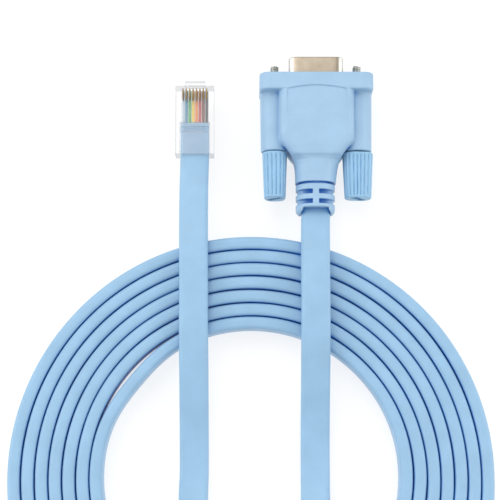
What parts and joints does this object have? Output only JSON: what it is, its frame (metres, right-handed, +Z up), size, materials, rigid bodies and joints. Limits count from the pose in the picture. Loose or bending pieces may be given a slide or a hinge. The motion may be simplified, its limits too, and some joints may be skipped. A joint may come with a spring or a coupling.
{
  "type": "rj45 console cable",
  "caption": "Flat console cable wound into a flat coil, with a D-sub socket in a moulded hood with thumbscrews on one end and a clear modular plug on the other.",
  "frame": {"origin": "on the floor, under the middle of the D-sub connector (hood, shell, screws and knobs)", "axes": "+Y out of the D-sub's mating face, +X to the right with the wide row of contacts up, +Z up"},
  "size_m": [0.1432, 0.1975, 0.0178],
  "materials": {
    "hood_pvc": "moulded satin PVC",
    "knob_plastic": "moulded satin",
    "cable_pvc": "extruded satin PVC",
    "shell_nickel": "nickel plated pressed steel",
    "screw_steel": "nickel plated thread",
    "insulator_plastic": "moulded",
    "contact_gold": "gold plated",
    "plug_clear": "clear polycarbonate",
    "wire_grey_blue": "satin",
    "wire_blue": "satin",
    "wire_green": "satin",
    "wire_yellow": "satin",
    "wire_orange": "satin",
    "wire_red": "satin",
    "wire_brown": "satin",
    "wire_black": "satin"
  },
  "bodies": {
    "cable_set": {"hood": "hood_pvc", "dsub_shell": "shell_nickel", "dsub_insulator": "insulator_plastic", "dsub_socket_1": "contact_gold", "dsub_socket_2": "contact_gold", "dsub_socket_3": "contact_gold", "dsub_socket_4": "contact_gold", "dsub_socket_5": "contact_gold", "dsub_socket_6": "contact_gold", "dsub_socket_7": "contact_gold", "dsub_socket_8": "contact_gold", "dsub_socket_9": "contact_gold", "plug_body": "plug_clear", "plug_blade_1": "contact_gold", "plug_blade_2": "contact_gold", "plug_blade_3": "contact_gold", "plug_blade_4": "contact_gold", "plug_blade_5": "contact_gold", "plug_blade_6": "contact_gold", "plug_blade_7": "contact_gold", "plug_blade_8": "contact_gold", "plug_wire_1": "wire_grey_blue", "plug_wire_2": "wire_blue", "plug_wire_3": "wire_green", "plug_wire_4": "wire_yellow", "plug_wire_5": "wire_orange", "plug_wire_6": "wire_red", "plug_wire_7": "wire_brown", "plug_wire_8": "wire_black", "lead_rj45": "cable_pvc", "cable_coil": "cable_pvc", "lead_db9": "cable_pvc"},
    "thumbscrew_left": {"knob_left": "knob_plastic", "screw_left": "screw_steel"},
    "thumbscrew_right": {"knob_right": "knob_plastic", "screw_right": "screw_steel"},
    "latch": {"plug_latch": "plug_clear"}
  },
  "joints": [
    {"name": "left_thumbscrew_turn", "type": "hinge", "parent": "cable_set", "child": "thumbscrew_left", "pos_m": [-0.01249, 0, 0.00775], "axis": [0, 1, 0], "continuous": true},
    {"name": "right_thumbscrew_turn", "type": "hinge", "parent": "cable_set", "child": "thumbscrew_right", "pos_m": [0.01249, 0, 0.00775], "axis": [0, 1, 0], "continuous": true},
    {"name": "latch_press", "type": "hinge", "parent": "cable_set", "child": "latch", "pos_m": [-0.0366, 0.0168, 0.00385], "axis": [-1, 0, 0], "range_deg": [0, 10], "stiffness_Nm_per_rad": 0.05}
  ]
}
